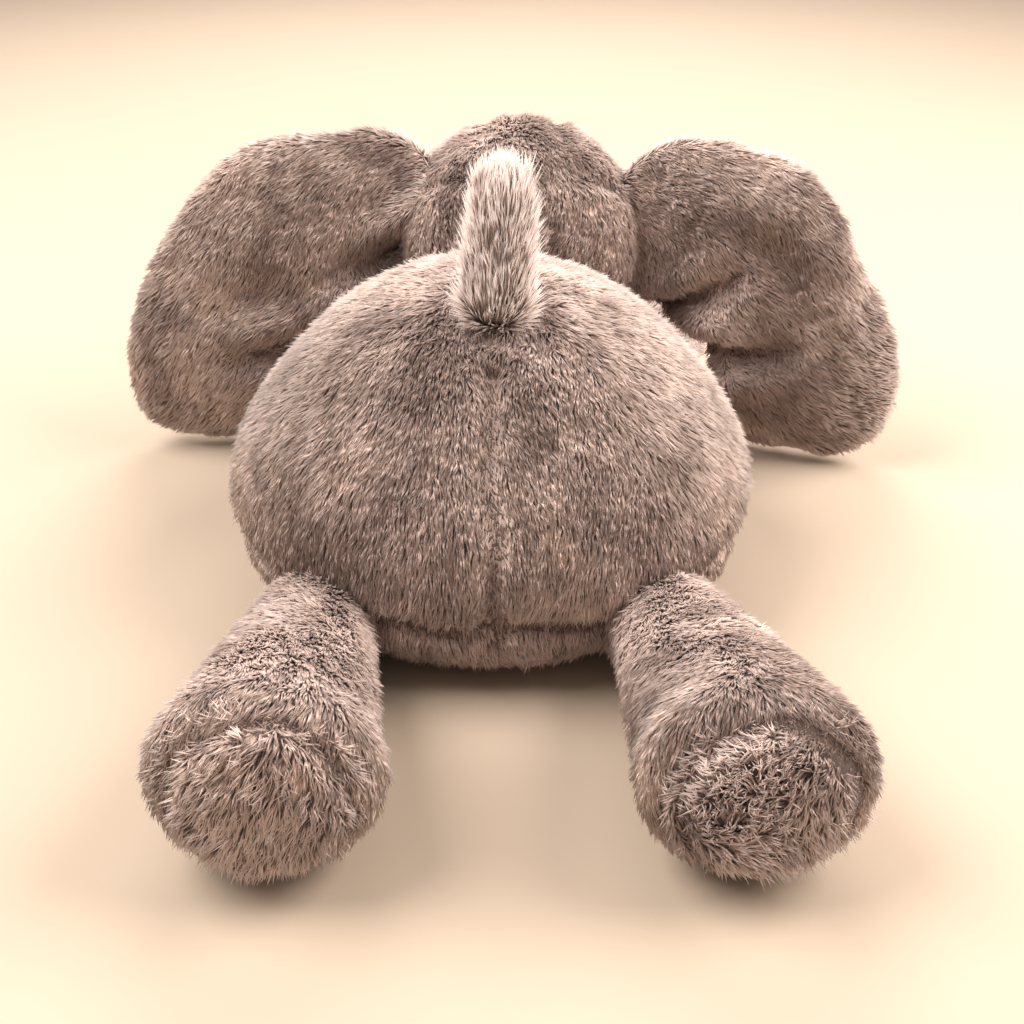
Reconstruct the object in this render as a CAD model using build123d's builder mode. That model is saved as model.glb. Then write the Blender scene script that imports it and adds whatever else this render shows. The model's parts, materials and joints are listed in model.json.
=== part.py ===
from build123d import *
import os
from math import atan2, cos, degrees, radians, sin, sqrt

# A stuffed elephant lying on its belly, with its legs stretched out before and behind it.
# Millimetres. +Z is up, and the face looks along -Y, so the elephant's left side is +X.
# The origin is on the resting surface, at the middle of the belly's flat.

PILE = 5.0                 # thickness of a plush cover with its pile
PLAY = 0.4                 # room between a limb's ball root and its socket

# torso: a bun turned about an upright axis, widest low down
TORSO_Y = -5.0
TORSO_RADIUS = 80.0
TORSO_HEIGHT = 109.0
TORSO_SIDE = [(0, 109), (26, 105), (52, 89), (68, 67), (78, 45), (80, 32), (75, 11), (62, 0)]
BELLY_SEAM_HEIGHT = 25.0   # where the belly panel meets the two back panels

# bean pouch, low inside the torso's filling
POUCH_Y = 0.0
POUCH_RADIUS = 34.0
POUCH_FLOOR = 10.0
POUCH_HEIGHT = 24.0
POUCH_ROUND = 9.0
POUCH_CLOTH = 1.5

# head: a ball that turns about its own middle, a little towards the right side
HEAD_CENTRE = (-9.0, -104.0, 80.0)
HEAD_RADIUS = 46.0
HEAD_SPIN = 270            # turns the ball's own seam line away from the panels' cuts
GUSSET_HALF_WIDTH = 12.0   # the strip over the crown, between the two cheek panels

# eyes: a domed cap on a stem, held by a washer inside the cover
EYE_TURN = 34.0            # degrees to each side of straight ahead
EYE_RISE = 14.0            # degrees above level
EYE_RADIUS = 6.0
EYE_STEM_RADIUS = 1.6
EYE_STEM_LENGTH = 9.0
WASHER_RADIUS = 6.5
WASHER_THICKNESS = 1.4

# trunk: two turned lengths, the second nested in the end of the first
TRUNK_ROOT = (-9.0, -141.0, 68.0)
TRUNK_BEND = (-9.0, -168.0, 38.0)
TRUNK_END = (-9.0, -196.0, 14.5)
TRUNK_RIM_GAP = 6.3        # the base stops this far short of the bend
TRUNK_BASE_RADII = (22.0, 18.0, 17.5)        # ball root, neck and end
TRUNK_TIP_RADII = (16.0, 14.0, 13.5)
TRUNK_BASE_ROUND = 1.5     # how far each length's end curves in
TRUNK_TIP_ROUND = 12.5

# ears: flat padded lobes that hang beside the head and stand on their lower edges
EAR_HINGE_OFFSET = 51.0    # from the head's middle, sideways
EAR_HINGE_Y = -97.0
EAR_HALF_THICKNESS = 8.0
EAR_PAD_HALF_THICKNESS = 3.5
EAR_ROOT_LOW = 62.0
EAR_ROOT_HIGH = 108.0
EAR_TOP_EDGE = [(0, 108), (12, 121), (36, 119), (60, 105)]
EAR_OUTER_EDGE = [*EAR_TOP_EDGE, (80, 80), (92, 50), (94, 22), (88, 6), (78, 0.5)]
EAR_INNER_EDGE = [(52, 0.5), (39, 12), (34, 30), (20, 48), (0, 62)]
EAR_MIDDLE = (48.0, 62.0)
EAR_REACH = 48.0           # from the ear's middle to its edge, roughly
EAR_SWEEP = {"left": 0.0, "right": 9.0}      # degrees that each ear lies swept back

# legs: pivot, middle of the sole, ball, neck and sole radius, all lying on the surface
LEGS = {
    "rear_leg_left": ((52, 64, 21.2), (54, 150, 29.5), 21, 18.5, 29),
    "rear_leg_right": ((-52, 64, 21.2), (-67, 151, 29.5), 21, 18.5, 29),
    "front_leg_left": ((44, -78, 21.2), (51, -150, 27), 21, 17, 25),
    "front_leg_right": ((-55, -78, 21.2), (-62, -149, 27), 21, 17, 25),
}
LEG_ROUND = 11.0           # how far the leg's end curves in towards the sole
SOLE_THICKNESS = 6.0

# tail: a short upright stub on the rump
TAIL_ROOT = (-1.0, 30.0, 106.0)
TAIL_END = (-4.0, 32.0, 151.0)
TAIL_RADII = (13.5, 11.5, 12.5)              # ball root, neck and end
TAIL_ROUND = 11.5

os.makedirs("parts", exist_ok=True)


def write(builder, name):
    """Label a finished piece and write it as its own STEP file."""
    builder.part.label = name
    export_step(builder.part, f"parts/{name}.step")


def torso_bun(inset):
    """The torso's solid, drawn in by the same inset all round."""
    narrower = (TORSO_RADIUS - inset) / TORSO_RADIUS
    lower = (TORSO_HEIGHT - 2 * inset) / TORSO_HEIGHT
    side = [(radius * narrower, inset + height * lower) for radius, height in TORSO_SIDE]
    with BuildPart() as bun:
        with BuildSketch(Plane.XZ.offset(-TORSO_Y)):
            with BuildLine():
                outline = Spline(*side, tangents=((1, 0), (-1, -0.35)))
                Polyline(outline @ 1, (0, inset), outline @ 0)
            make_face()
        revolve(axis=Axis((0, TORSO_Y, 0), (0, 0, 1)))
    return bun.part


def ball(centre, radius, spin=0):
    """A ball, as a limb's root or the socket that it turns in, with its poles to the sides."""
    with BuildPart(Plane(centre)) as made:
        Sphere(radius, rotation=(spin, 90, 0))
    return made.part


class Limb:
    """A turned limb: a ball at its pivot, then a straight barrel that narrows or flares to its end."""

    def __init__(self, pivot, end, ball_radius, neck_radius, end_radius, end_round):
        self.pivot = Vector(*pivot)
        self.length = (Vector(*end) - self.pivot).length
        self.along = (Vector(*end) - self.pivot).normalized()
        self.ball_radius = ball_radius
        self.neck_radius = neck_radius
        self.end_radius = end_radius
        self.end_round = end_round
        across = Vector(self.along.Y, -self.along.X, 0)
        if across.length < 0.2:
            across = Vector(1, 0, 0) - self.along * self.along.X
        self.across = across.normalized()
        self.plane = Plane(self.pivot, x_dir=self.across, z_dir=self.across.cross(self.along))
        self.axis = Axis(self.pivot, self.along)

    def solid(self, inset=0.0):
        """The limb's solid, drawn in by the inset."""
        root = self.ball_radius - inset
        neck = self.neck_radius - inset
        end = self.end_radius - inset
        reach = self.length - inset
        curve = max(self.end_round - inset, 1.0)
        neck_angle = degrees(atan2(sqrt(root**2 - neck**2), neck))
        with BuildPart() as body:
            with BuildSketch(self.plane):
                with BuildLine():
                    bottom = CenterArc((0, 0), root, -90, 90 + neck_angle)
                    barrel = Line(bottom @ 1, (end, reach - curve))
                    corner = CenterArc((end - curve, reach - curve), curve, 0, 90)
                    Polyline(corner @ 1, (0, reach), bottom @ 0)
                make_face()
            revolve(axis=self.axis)
        return body.part

    def end_plane(self, back=0.0):
        """The plane across the limb's end, facing out of it."""
        return Plane(self.pivot + self.along * (self.length - back), x_dir=self.across, z_dir=self.along)

    def socket(self):
        """The ball-shaped room that the limb's root turns in."""
        return ball(self.pivot, self.ball_radius + PLAY)


def limb_cover_and_fill(limb, name, openings=()):
    """Write a closed limb's plush cover and the stuffing inside it."""
    outer = limb.solid()
    inner = limb.solid(PILE)
    with BuildPart() as cover:
        add(outer)
        add(inner, mode=Mode.SUBTRACT)
        for opening in openings:
            add(opening, mode=Mode.SUBTRACT)
    write(cover, f"{name}_cover")
    with BuildPart() as fill:
        add(inner)
        for opening in openings:
            add(opening, mode=Mode.SUBTRACT)
    write(fill, f"{name}_fill")


# ---- the limbs' shapes, before anything is cut for them ----
legs = {name: Limb(*sizes, LEG_ROUND) for name, sizes in LEGS.items()}
tail = Limb(TAIL_ROOT, TAIL_END, *TAIL_RADII, TAIL_ROUND)
trunk_base = Limb(TRUNK_ROOT, TRUNK_BEND, *TRUNK_BASE_RADII, TRUNK_BASE_ROUND)
trunk_tip = Limb(TRUNK_BEND, TRUNK_END, *TRUNK_TIP_RADII, TRUNK_TIP_ROUND)

# ---- torso ----
torso_outer = torso_bun(0)
torso_inner = torso_bun(PILE)

with BuildPart() as torso_sockets:
    add(ball(HEAD_CENTRE, HEAD_RADIUS + PLAY))
    for limb in [*legs.values(), tail]:
        add(limb.socket())

with BuildPart() as torso_shell:
    add(torso_outer)
    add(torso_inner, mode=Mode.SUBTRACT)
    add(torso_sockets.part, mode=Mode.SUBTRACT)

with BuildPart() as back_panel_left:
    add(torso_shell.part)
    split(bisect_by=Plane.XY.offset(BELLY_SEAM_HEIGHT), keep=Keep.TOP)
    split(bisect_by=Plane.YZ, keep=Keep.TOP)
write(back_panel_left, "back_panel_left")

with BuildPart() as back_panel_right:
    add(torso_shell.part)
    split(bisect_by=Plane.XY.offset(BELLY_SEAM_HEIGHT), keep=Keep.TOP)
    split(bisect_by=Plane.YZ, keep=Keep.BOTTOM)
write(back_panel_right, "back_panel_right")

with BuildPart() as belly_panel:
    add(torso_shell.part)
    split(bisect_by=Plane.XY.offset(BELLY_SEAM_HEIGHT), keep=Keep.BOTTOM)
write(belly_panel, "belly_panel")

# ---- bean pouch, and the torso's filling round it ----
pouch_plane = Plane((0, POUCH_Y, POUCH_FLOOR + POUCH_HEIGHT / 2))

with BuildPart(pouch_plane) as beans:
    Cylinder(POUCH_RADIUS - POUCH_CLOTH, POUCH_HEIGHT - 2 * POUCH_CLOTH)
    fillet(beans.edges().filter_by(GeomType.CIRCLE), POUCH_ROUND - POUCH_CLOTH)
write(beans, "beans")

with BuildPart(pouch_plane) as pouch_outer:
    Cylinder(POUCH_RADIUS, POUCH_HEIGHT)
    fillet(pouch_outer.edges().filter_by(GeomType.CIRCLE), POUCH_ROUND)

with BuildPart() as bean_pouch:
    add(pouch_outer.part)
    add(beans.part, mode=Mode.SUBTRACT)
write(bean_pouch, "bean_pouch")

with BuildPart() as body_fill:
    add(torso_inner)
    add(torso_sockets.part, mode=Mode.SUBTRACT)
    add(pouch_outer.part, mode=Mode.SUBTRACT)
write(body_fill, "body_fill")

# ---- legs: cover, sole and filling ----
for name, leg in legs.items():
    sole_radius = leg.end_radius - LEG_ROUND / 2
    leg_outer = leg.solid()
    leg_inner = leg.solid(PILE)
    sole_plane = leg.end_plane(SOLE_THICKNESS)
    with BuildPart() as sole:
        with BuildSketch(sole_plane):
            Circle(sole_radius)
        extrude(amount=SOLE_THICKNESS)
        add(leg_outer, mode=Mode.INTERSECT)
    write(sole, f"{name}_sole")
    with BuildPart() as leg_cover:
        add(leg_outer)
        add(leg_inner, mode=Mode.SUBTRACT)
        add(sole.part, mode=Mode.SUBTRACT)
    write(leg_cover, f"{name}_cover")
    with BuildPart() as leg_fill:
        add(leg_inner)
        add(sole.part, mode=Mode.SUBTRACT)
    write(leg_fill, f"{name}_fill")

# ---- tail and trunk ----
limb_cover_and_fill(tail, "tail")
rim_plane = trunk_base.end_plane(TRUNK_RIM_GAP)
with BuildPart() as beyond_rim:
    with BuildSketch(rim_plane):
        Circle(2 * trunk_base.end_radius)
    extrude(amount=2 * TRUNK_RIM_GAP)
limb_cover_and_fill(trunk_base, "trunk_base", [trunk_tip.socket(), beyond_rim.part])
limb_cover_and_fill(trunk_tip, "trunk_tip")


# ---- eyes: one plane for each, on the head and facing out of it ----
def eye_plane(side, depth):
    """The plane of an eye, so far below the head's surface, with +Z outwards."""
    turn = radians(EYE_TURN) * side
    rise = radians(EYE_RISE)
    outward = Vector(sin(turn) * cos(rise), -cos(turn) * cos(rise), sin(rise))
    return Plane(Vector(*HEAD_CENTRE) + outward * (HEAD_RADIUS - depth), z_dir=outward)


eye_spaces = []
for word, side in (("left", 1), ("right", -1)):
    with BuildPart(eye_plane(side, 0)) as eye:
        Sphere(EYE_RADIUS)
    with BuildPart(eye_plane(side, EYE_STEM_LENGTH)) as stem:
        Cylinder(EYE_STEM_RADIUS, EYE_STEM_LENGTH, align=(Align.CENTER, Align.CENTER, Align.MIN))
    with BuildPart() as eye_cap:
        add(eye.part)
        split(bisect_by=eye_plane(side, 1.0), keep=Keep.TOP)
        add(stem.part)
    write(eye_cap, f"eye_{word}")
    with BuildPart(eye_plane(side, PILE)) as disc:
        Cylinder(WASHER_RADIUS, WASHER_THICKNESS, align=(Align.CENTER, Align.CENTER, Align.MAX))
    with BuildPart() as washer:
        add(disc.part)
        add(stem.part, mode=Mode.SUBTRACT)
    write(washer, f"eye_washer_{word}")
    eye_spaces += [eye_cap.part, washer.part]


# ---- ears ----
def ear_plane(word):
    """The ear's own plane: x outwards from the hinge, y up, z towards the other side."""
    side = 1 if word == "left" else -1
    sweep = radians(EAR_SWEEP[word])
    hinge = Vector(HEAD_CENTRE[0] + side * EAR_HINGE_OFFSET, EAR_HINGE_Y, 0)
    return Plane(hinge, x_dir=(side * cos(sweep), sin(sweep), 0), z_dir=(sin(sweep), -side * cos(sweep), 0))


def ear_lobe(plane, half_thickness, inset):
    """A lobe of the ear's outline, drawn in towards its middle and thickened to both sides of its plane."""
    share = 1 - inset / EAR_REACH
    middle_x, middle_z = EAR_MIDDLE

    def drawn_in(points):
        return [(middle_x + (x - middle_x) * share, middle_z + (z - middle_z) * share) for x, z in points]

    with BuildPart() as lobe:
        with BuildSketch(plane.offset(-half_thickness)):
            with BuildLine():
                outer = Spline(*drawn_in(EAR_OUTER_EDGE))
                inner = Spline(*drawn_in(EAR_INNER_EDGE))
                Line(outer @ 1, inner @ 0)
                Line(inner @ 1, outer @ 0)
            make_face()
        extrude(amount=2 * half_thickness)
    return lobe.part


def ear_root(plane, radius, low, high):
    """The upright roll along the ear's hinge, or the room that it turns in."""
    with BuildPart(Plane(plane.origin + Vector(0, 0, low))) as roll:
        Cylinder(radius, high - low, align=(Align.CENTER, Align.CENTER, Align.MIN))
    return roll.part


ear_rooms = []
for word in ("left", "right"):
    plane = ear_plane(word)
    keep_back = Keep.BOTTOM if word == "left" else Keep.TOP
    keep_front = Keep.TOP if word == "left" else Keep.BOTTOM
    ear_pad = ear_lobe(plane, EAR_PAD_HALF_THICKNESS, PILE)
    with BuildPart() as ear_whole:
        add(ear_lobe(plane, EAR_HALF_THICKNESS, 0))
        add(ear_root(plane, EAR_HALF_THICKNESS, EAR_ROOT_LOW, EAR_ROOT_HIGH))
        add(ear_pad, mode=Mode.SUBTRACT)
    with BuildPart() as ear_back:
        add(ear_whole.part)
        split(bisect_by=plane, keep=keep_back)
    write(ear_back, f"ear_back_{word}")
    with BuildPart() as ear_front:
        add(ear_whole.part)
        split(bisect_by=plane, keep=keep_front)
    write(ear_front, f"ear_front_{word}")
    with BuildPart() as ear_filling:
        add(ear_pad)
    write(ear_filling, f"ear_pad_{word}")
    ear_rooms.append(ear_root(plane, EAR_HALF_THICKNESS + PLAY, EAR_ROOT_LOW - PLAY, EAR_ROOT_HIGH + PLAY))

# ---- head: two cheek panels, the crown gusset and the filling ----
with BuildPart() as head_cuts:
    add(trunk_base.socket())
    for room in ear_rooms:
        add(room)

with BuildPart() as head_shell:
    add(ball(HEAD_CENTRE, HEAD_RADIUS, HEAD_SPIN))
    add(ball(HEAD_CENTRE, HEAD_RADIUS - PILE, HEAD_SPIN), mode=Mode.SUBTRACT)
    add(head_cuts.part, mode=Mode.SUBTRACT)
    for space in eye_spaces:
        add(space, mode=Mode.SUBTRACT)

with BuildPart(Plane(HEAD_CENTRE)) as crown_strip:
    Box(2 * GUSSET_HALF_WIDTH, 3 * HEAD_RADIUS, 3 * HEAD_RADIUS)

for word, side in (("left", 1), ("right", -1)):
    with BuildPart(Plane(HEAD_CENTRE)) as cheek_half:
        Box(2 * HEAD_RADIUS, 3 * HEAD_RADIUS, 3 * HEAD_RADIUS, align=(Align.MIN, Align.CENTER, Align.CENTER),
            rotation=(0, 0, 90 - 90 * side))
    with BuildPart() as head_panel:
        add(head_shell.part)
        add(cheek_half.part, mode=Mode.INTERSECT)
        add(crown_strip.part, mode=Mode.SUBTRACT)
    write(head_panel, f"head_panel_{word}")

with BuildPart() as head_gusset:
    add(head_shell.part)
    add(crown_strip.part, mode=Mode.INTERSECT)
write(head_gusset, "head_gusset")

with BuildPart() as head_fill:
    add(ball(HEAD_CENTRE, HEAD_RADIUS - PILE))
    add(head_cuts.part, mode=Mode.SUBTRACT)
    for space in eye_spaces:
        add(space, mode=Mode.SUBTRACT)
write(head_fill, "head_fill")
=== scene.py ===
"""A stuffed elephant lying on its belly: stuffed skins sewn from plush, and the pile that stands on them."""
import json
import math

import bpy
import numpy as np
from mathutils import Matrix, Vector, noise
from mathutils.kdtree import KDTree


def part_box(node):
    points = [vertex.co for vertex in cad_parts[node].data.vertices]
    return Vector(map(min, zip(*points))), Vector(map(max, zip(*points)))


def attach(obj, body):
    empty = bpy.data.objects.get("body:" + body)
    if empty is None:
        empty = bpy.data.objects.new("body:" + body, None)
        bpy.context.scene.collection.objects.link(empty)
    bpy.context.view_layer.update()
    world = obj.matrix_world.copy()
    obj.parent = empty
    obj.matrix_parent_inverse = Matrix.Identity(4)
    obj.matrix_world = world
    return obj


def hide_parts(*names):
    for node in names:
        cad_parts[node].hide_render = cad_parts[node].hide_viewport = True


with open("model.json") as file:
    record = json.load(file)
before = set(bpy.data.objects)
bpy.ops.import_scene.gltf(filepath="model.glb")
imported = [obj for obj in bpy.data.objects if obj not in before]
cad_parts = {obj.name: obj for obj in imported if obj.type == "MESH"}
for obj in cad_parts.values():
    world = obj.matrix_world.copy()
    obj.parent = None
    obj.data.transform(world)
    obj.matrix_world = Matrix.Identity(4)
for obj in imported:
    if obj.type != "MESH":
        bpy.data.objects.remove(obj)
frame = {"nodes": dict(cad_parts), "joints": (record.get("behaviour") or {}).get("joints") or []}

noise.seed_set(5)           # without a seed, noise_vector drifts differently on every run
for name in ("Cube", "Light", "Camera"):
    if name in bpy.data.objects:
        bpy.data.objects.remove(bpy.data.objects[name])
bpy.ops.object.select_all(action="DESELECT")
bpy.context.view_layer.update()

MM = 0.001
SIDES = {"left": 1, "right": -1}
NAP = 3.0 * MM              # how far the lying pile stands off the cloth
SKIN_VOXEL = 4 * MM
STUFFING_GAP = 1.6 * MM     # from a skin to the stuffing in it


# ---- places, from the frame ----
def box_of(*nodes):
    """The lowest and highest corners of some nodes together."""
    boxes = [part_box(node) for node in nodes]
    low = Vector([min(box[0][axis] for box in boxes) for axis in range(3)])
    high = Vector([max(box[1][axis] for box in boxes) for axis in range(3)])
    return low, high


def middle_of(*nodes):
    low, high = box_of(*nodes)
    return (low + high) / 2


PIVOT = {joint["child"]: Vector(joint["pos_m"]) for joint in frame["joints"]}
TORSO_LOW, TORSO_HIGH = box_of("back_panel_left", "back_panel_right", "belly_panel")
TORSO_MIDDLE = (TORSO_LOW + TORSO_HIGH) / 2
TORSO_RADIUS = (TORSO_HIGH.x - TORSO_LOW.x) / 2
BELLY_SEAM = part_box("back_panel_left")[0].z
HEAD_LOW, HEAD_HIGH = box_of("head_panel_left", "head_panel_right", "head_gusset")
HEAD = (HEAD_LOW + HEAD_HIGH) / 2
HEAD_RADIUS = (HEAD_HIGH.z - HEAD_LOW.z) / 2
FLOOR_REST = 3.0 * MM       # the cloth's height over the surface, on its crushed pile
REST_EDGE = 4 * MM          # under this the pile is pressed flat

# ---- camera ----
EYE_PLACE = Vector((-6, 404, 254)) * MM
EYE_DROP = math.radians(30)
FIELD_OF_VIEW = math.radians(40)
camera_data = bpy.data.cameras.new("camera")
camera_data.angle = FIELD_OF_VIEW
camera_data.clip_start = 0.01
camera = bpy.data.objects.new("camera", camera_data)
camera.location = EYE_PLACE
camera.rotation_euler = (math.pi / 2 - EYE_DROP, 0, math.pi)
bpy.context.scene.collection.objects.link(camera)
bpy.context.scene.camera = camera


# ---- working with meshes ----
def only(piece):
    """Select one piece alone and make it the active one."""
    bpy.ops.object.select_all(action="DESELECT")
    piece.select_set(True)
    bpy.context.view_layer.objects.active = piece


def fresh(name):
    """The primitive just added, named, with its place moved into its mesh."""
    piece = bpy.context.object
    piece.name = name
    piece.data.name = name
    bpy.ops.object.transform_apply(location=True, rotation=True, scale=True)
    return piece


def finish_modifiers(piece):
    only(piece)
    for modifier in list(piece.modifiers):
        bpy.ops.object.modifier_apply(modifier=modifier.name)


def joined(name, parts):
    bpy.ops.object.select_all(action="DESELECT")
    for part in parts:
        part.select_set(True)
    bpy.context.view_layer.objects.active = parts[0]
    bpy.ops.object.join()
    parts[0].name = name
    parts[0].data.name = name
    return parts[0]


def coords(piece):
    out = np.empty(len(piece.data.vertices) * 3)
    piece.data.vertices.foreach_get("co", out)
    return out.reshape(-1, 3)


def normals(piece):
    out = np.empty(len(piece.data.vertices) * 3)
    piece.data.vertices.foreach_get("normal", out)
    return out.reshape(-1, 3)


def set_coords(piece, points):
    piece.data.vertices.foreach_set("co", points.ravel())
    piece.data.update()


def ball(name, centre, radii, segments=40, rings=24):
    bpy.ops.mesh.primitive_uv_sphere_add(segments=segments, ring_count=rings, radius=1, location=centre,
                                         scale=radii)
    return fresh(name)


def turned(name, start, end, start_radius, end_radius):
    """A straight taper between two points."""
    along = Vector(end) - Vector(start)
    bpy.ops.mesh.primitive_cone_add(vertices=40, radius1=start_radius, radius2=end_radius, depth=along.length,
                                    location=(Vector(start) + Vector(end)) / 2,
                                    rotation=along.to_track_quat("Z", "Y").to_euler())
    return fresh(name)


def felted(piece, voxel=SKIN_VOXEL, rounds=6):
    """Melt joined primitives into one even skin and soften its corners."""
    remesh = piece.modifiers.new("even skin", "REMESH")
    remesh.mode = "VOXEL"
    remesh.voxel_size = voxel
    soften = piece.modifiers.new("soft corners", "SMOOTH")
    soften.factor = 0.5
    soften.iterations = rounds
    finish_modifiers(piece)
    return piece


# ---- stuffing: every closed skin swells together under pressure ----
SWELL_FRAMES = 18


def stuff(skins):
    """Swell each skin with cloth pressure. skins maps each one to its pressure and its furthest move."""
    before = {}
    for skin, (pressure, _) in skins.items():
        before[skin.name] = coords(skin)
        cloth = skin.modifiers.new("stuffed", "CLOTH")
        settings = cloth.settings
        settings.quality = 4
        settings.mass = 0.3
        settings.tension_stiffness = 12
        settings.compression_stiffness = 8
        settings.shear_stiffness = 4
        settings.bending_stiffness = 0.4
        settings.use_pressure = True
        settings.uniform_pressure_force = pressure
        settings.effector_weights.gravity = 0
        cloth.collision_settings.use_collision = False
        cloth.point_cache.frame_start = 1
        cloth.point_cache.frame_end = SWELL_FRAMES
    for step in range(1, SWELL_FRAMES + 1):
        bpy.context.scene.frame_set(step)
    depsgraph = bpy.context.evaluated_depsgraph_get()
    for skin, (_, furthest) in skins.items():
        swollen = skin.evaluated_get(depsgraph)
        after = np.empty(len(skin.data.vertices) * 3)
        swollen.data.vertices.foreach_get("co", after)
        move = after.reshape(-1, 3) - before[skin.name]
        length = np.linalg.norm(move, axis=1, keepdims=True)
        move *= np.minimum(1, furthest / np.maximum(length, 1e-9))
        skin.modifiers.clear()
        set_coords(skin, before[skin.name] + move)
    bpy.context.scene.frame_set(1)


def subdivide(piece, levels=1):
    smoother = piece.modifiers.new("finer", "SUBSURF")
    smoother.levels = levels
    smoother.render_levels = levels
    finish_modifiers(piece)
    only(piece)
    bpy.ops.object.shade_smooth()


def settle(piece, height=FLOOR_REST):
    """Flatten what would reach under the surface that the toy lies on."""
    points = coords(piece)
    under = points[:, 2] < height + 2 * MM
    depth = (height + 2 * MM - points[under, 2]) / (2 * MM)
    points[under, 2] = height + 2 * MM * np.exp(-depth)
    set_coords(piece, points)


# ---- seams ----
class Seam:
    """A sewn line: the cloth dips along it, the pile parts over it, and painted shade darkens the pile along
    it.
    """

    def __init__(self, points, depth, width, parting_and_shade=1.0):
        self.points = [Vector(point) for point in points]
        self.depth = depth
        self.width = width
        self.parting_and_shade = parting_and_shade
        self.tree = KDTree(len(self.points))
        for index, point in enumerate(self.points):
            self.tree.insert(point, index)
        self.tree.balance()

    def near(self, points):
        """For each point: how strongly the seam pulls, and the way off it."""
        pull = np.zeros(len(points))
        off = np.zeros((len(points), 3))
        for index, point in enumerate(points):
            nearest, _, distance = self.tree.find(point)
            if distance < 3 * self.width:
                pull[index] = math.exp(-(distance / self.width) ** 2)
                off[index] = (Vector(point) - nearest) / max(distance, 1e-6)
        return pull, off


def sew(piece, seams):
    """Press each seam's groove into the skin."""
    for seam in seams:
        points = coords(piece)
        pull, _ = seam.near(points)
        set_coords(piece, points - normals(piece) * (pull * seam.depth)[:, None])


def curve_points(rule, start, end, count=90):
    """Points along a rule of one number, from start to end."""
    return [rule(start + (end - start) * index / (count - 1)) for index in range(count)]


def laid_on(piece, points):
    """The nearest places on a skin to a line's points."""
    return [piece.closest_point_on_mesh(Vector(point))[1] for point in points]


def wobble(points, reach, scale, seed):
    """Move points off a clean curve by a smooth, hand-sewn unevenness."""
    moved = []
    for point in points:
        drift = noise.noise_vector(Vector(point) * scale + Vector((seed, 0, 0)))
        moved.append(Vector(point) + drift * reach)
    return moved


# ---- materials ----
def new_material(name):
    material = bpy.data.materials.new(name)
    material.use_nodes = True
    material.node_tree.nodes.clear()
    nodes, links = material.node_tree.nodes, material.node_tree.links
    output = nodes.new("ShaderNodeOutputMaterial")
    shader = nodes.new("ShaderNodeBsdfPrincipled")
    links.new(shader.outputs["BSDF"], output.inputs["Surface"])
    return material, nodes, links, shader


def colour_ramp(nodes, stops):
    ramp = nodes.new("ShaderNodeValToRGB")
    ramp.color_ramp.elements[0].position = stops[0][0]
    ramp.color_ramp.elements[0].color = (*stops[0][1], 1)
    ramp.color_ramp.elements[1].position = stops[-1][0]
    ramp.color_ramp.elements[1].color = (*stops[-1][1], 1)
    for place, colour in stops[1:-1]:
        ramp.color_ramp.elements.new(place).color = (*colour, 1)
    return ramp


def mottle_group():
    """Slow light and dark patches of a brushed nap, and a finer mottle over them."""
    group = bpy.data.node_groups.new("brushed mottle", "ShaderNodeTree")
    group.interface.new_socket("Patch scale", in_out="INPUT", socket_type="NodeSocketFloat")
    group.interface.new_socket("Mottle scale", in_out="INPUT", socket_type="NodeSocketFloat")
    group.interface.new_socket("Patch", in_out="OUTPUT", socket_type="NodeSocketFloat")
    group.interface.new_socket("Mottle", in_out="OUTPUT", socket_type="NodeSocketFloat")
    nodes, links = group.nodes, group.links
    entry = nodes.new("NodeGroupInput")
    leave = nodes.new("NodeGroupOutput")
    place = nodes.new("ShaderNodeTexCoord")
    for source, target, detail in (("Patch scale", "Patch", 2.0), ("Mottle scale", "Mottle", 3.0)):
        texture = nodes.new("ShaderNodeTexNoise")
        texture.inputs["Detail"].default_value = detail
        texture.inputs["Distortion"].default_value = 0.6
        links.new(place.outputs["Object"], texture.inputs["Vector"])
        links.new(entry.outputs[source], texture.inputs["Scale"])
        links.new(texture.outputs["Fac"], leave.inputs[target])
    return group


MOTTLE = mottle_group()


def add_mottle(nodes, patch_scale, mottle_scale):
    mottle = nodes.new("ShaderNodeGroup")
    mottle.node_tree = MOTTLE
    mottle.inputs["Patch scale"].default_value = patch_scale
    mottle.inputs["Mottle scale"].default_value = mottle_scale
    return mottle


def mix_colour(nodes, links, factor, first, second, blend="MIX"):
    mix = nodes.new("ShaderNodeMix")
    mix.data_type = "RGBA"
    mix.blend_type = blend
    for name, value in (("Factor", factor), ("A", first), ("B", second)):
        socket = mix.inputs[name]
        if isinstance(value, bpy.types.NodeSocket):
            links.new(value, socket)
        else:
            socket.default_value = value
    return mix.outputs["Result"]


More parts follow.
